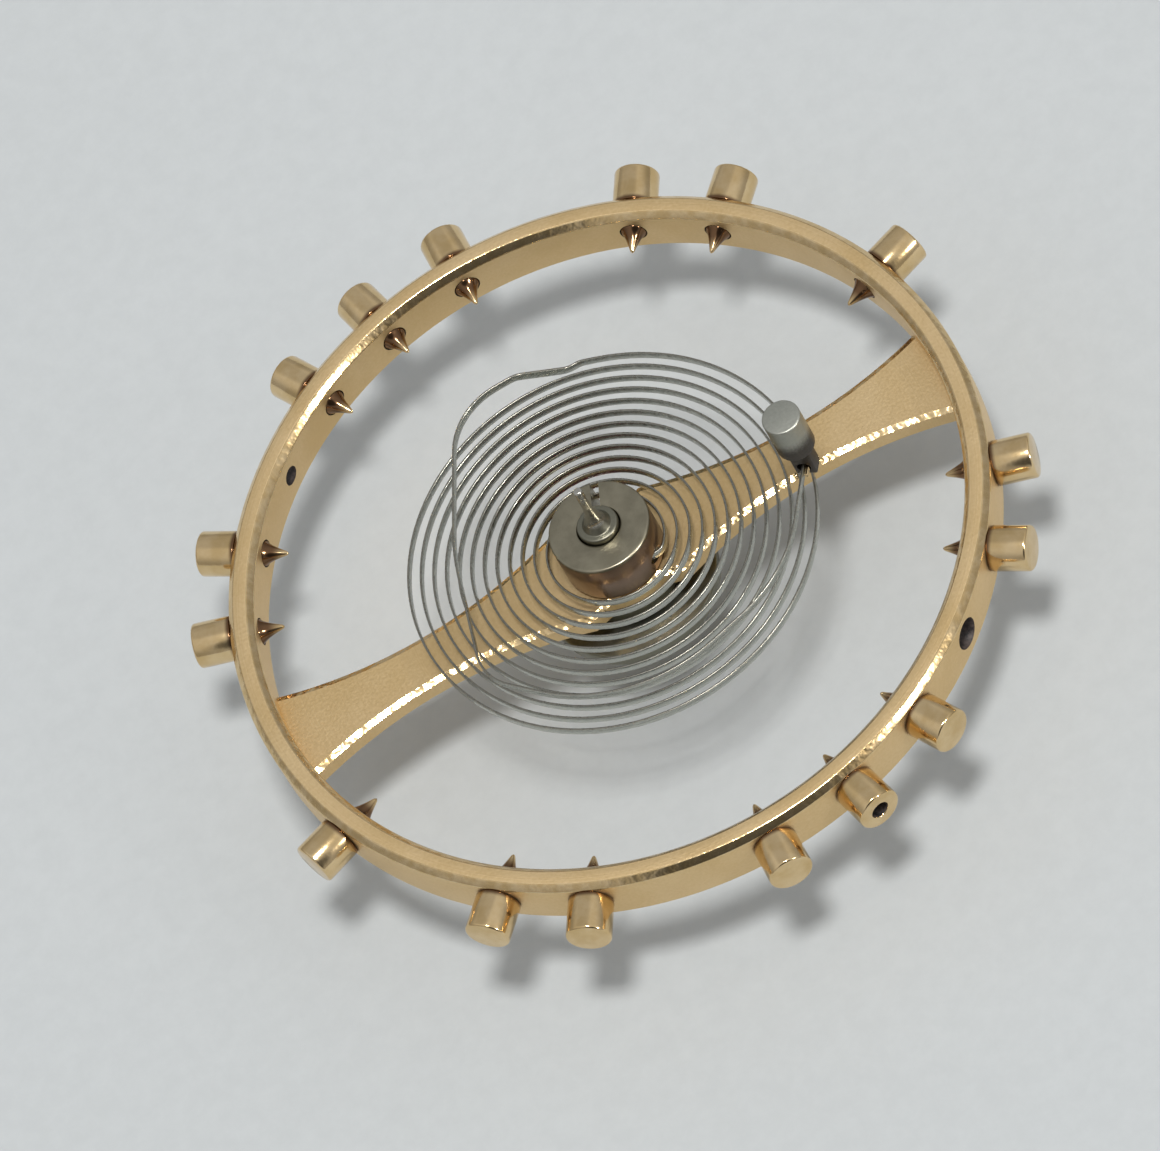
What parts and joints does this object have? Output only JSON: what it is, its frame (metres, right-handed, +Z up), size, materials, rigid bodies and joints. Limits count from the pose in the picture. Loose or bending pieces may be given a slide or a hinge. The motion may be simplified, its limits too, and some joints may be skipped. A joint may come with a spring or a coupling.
{
  "type": "watch balance wheel",
  "caption": "Screwed watch balance wheel with two-sided arm, radial timing screws, staff, double roller, collet and overcoil hairspring ending in a stud.",
  "frame": {"origin": "the end of the staff's lower pivot, on the staff's axis", "axes": "+Z up the staff from the roller side to the hairspring side, +X along the arm that is nearer the stud"},
  "size_m": [0.0106, 0.011, 0.0036],
  "materials": {
    "gilt_wheel": "fine matte gold-coloured faces with polished bevels",
    "screw_gold": "polished gold-coloured turned screw",
    "staff_steel": "polished hardened steel",
    "roller_metal": "polished grey steel",
    "ruby": "polished synthetic ruby",
    "collet_steel": "satin turned steel",
    "pin_brass": "plain drawn brass",
    "spring_steel": "bright grey spring alloy",
    "stud_steel": "satin grey steel"
  },
  "bodies": {
    "stud_and_spring": {"stud": "stud_steel", "stud_pin": "pin_brass", "hairspring": "spring_steel"},
    "collet": {"collet": "collet_steel", "collet_pin": "pin_brass"},
    "wheel": {"balance_wheel": "gilt_wheel", "balance_staff": "staff_steel", "roller_table": "roller_metal", "safety_roller": "roller_metal", "impulse_jewel": "ruby"},
    "timing_screw_01": {"timing_screw_01": "screw_gold"},
    "timing_screw_02": {"timing_screw_02": "screw_gold"},
    "timing_screw_03": {"timing_screw_03": "screw_gold"},
    "timing_screw_04": {"timing_screw_04": "screw_gold"},
    "timing_screw_05": {"timing_screw_05": "screw_gold"},
    "timing_screw_06": {"timing_screw_06": "screw_gold"},
    "timing_screw_07": {"timing_screw_07": "screw_gold"},
    "timing_screw_08": {"timing_screw_08": "screw_gold"},
    "timing_screw_09": {"timing_screw_09": "screw_gold"},
    "timing_screw_10": {"timing_screw_10": "screw_gold"},
    "timing_screw_11": {"timing_screw_11": "screw_gold"},
    "timing_screw_12": {"timing_screw_12": "screw_gold"},
    "timing_screw_13": {"timing_screw_13": "screw_gold"},
    "timing_screw_14": {"timing_screw_14": "screw_gold"},
    "timing_screw_15": {"timing_screw_15": "screw_gold"},
    "timing_screw_16": {"timing_screw_16": "screw_gold"}
  },
  "joints": [
    {"name": "balance_swing", "type": "hinge", "parent": "stud_and_spring", "child": "collet", "pos_m": [0, 0, 0.00195], "axis": [0, 0, 1], "range_deg": [-270, 270], "stiffness_Nm_per_rad": 0.0000005, "deforming": ["hairspring"]},
    {"name": "beat_setting", "type": "hinge", "parent": "collet", "child": "wheel", "pos_m": [0, 0, 0.00195], "axis": [0, 0, 1], "continuous": true},
    {"name": "timing_screw_01_adjust", "type": "slide", "parent": "wheel", "child": "timing_screw_01", "axis": [0.9397, 0.342, 0], "range_m": [0, 0.0002]},
    {"name": "timing_screw_02_adjust", "type": "slide", "parent": "wheel", "child": "timing_screw_02", "axis": [0.6691, 0.7431, 0], "range_m": [0, 0.0002]},
    {"name": "timing_screw_03_adjust", "type": "slide", "parent": "wheel", "child": "timing_screw_03", "axis": [0.4695, 0.8829, 0], "range_m": [0, 0.0002]},
    {"name": "timing_screw_04_adjust", "type": "slide", "parent": "wheel", "child": "timing_screw_04", "axis": [0, 1, 0], "range_m": [0, 0.0002]},
    {"name": "timing_screw_05_adjust", "type": "slide", "parent": "wheel", "child": "timing_screw_05", "axis": [-0.2419, 0.9703, 0], "range_m": [0, 0.0002]},
    {"name": "timing_screw_06_adjust", "type": "slide", "parent": "wheel", "child": "timing_screw_06", "axis": [-0.4695, 0.8829, 0], "range_m": [0, 0.0002]},
    {"name": "timing_screw_07_adjust", "type": "slide", "parent": "wheel", "child": "timing_screw_07", "axis": [-0.829, 0.5592, 0], "range_m": [0, 0.0002]},
    {"name": "timing_screw_08_adjust", "type": "slide", "parent": "wheel", "child": "timing_screw_08", "axis": [-0.9397, 0.342, 0], "range_m": [0, 0.0002]},
    {"name": "timing_screw_09_adjust", "type": "slide", "parent": "wheel", "child": "timing_screw_09", "axis": [-0.9397, -0.342, 0], "range_m": [0, 0.0002]},
    {"name": "timing_screw_10_adjust", "type": "slide", "parent": "wheel", "child": "timing_screw_10", "axis": [-0.6691, -0.7431, 0], "range_m": [0, 0.0002]},
    {"name": "timing_screw_11_adjust", "type": "slide", "parent": "wheel", "child": "timing_screw_11", "axis": [-0.4695, -0.8829, 0], "range_m": [0, 0.0002]},
    {"name": "timing_screw_12_adjust", "type": "slide", "parent": "wheel", "child": "timing_screw_12", "axis": [0, -1, 0], "range_m": [0, 0.0002]},
    {"name": "timing_screw_13_adjust", "type": "slide", "parent": "wheel", "child": "timing_screw_13", "axis": [0.2419, -0.9703, 0], "range_m": [0, 0.0002]},
    {"name": "timing_screw_14_adjust", "type": "slide", "parent": "wheel", "child": "timing_screw_14", "axis": [0.4695, -0.8829, 0], "range_m": [0, 0.0002]},
    {"name": "timing_screw_15_adjust", "type": "slide", "parent": "wheel", "child": "timing_screw_15", "axis": [0.829, -0.5592, 0], "range_m": [0, 0.0002]},
    {"name": "timing_screw_16_adjust", "type": "slide", "parent": "wheel", "child": "timing_screw_16", "axis": [0.9397, -0.342, 0], "range_m": [0, 0.0002]}
  ]
}
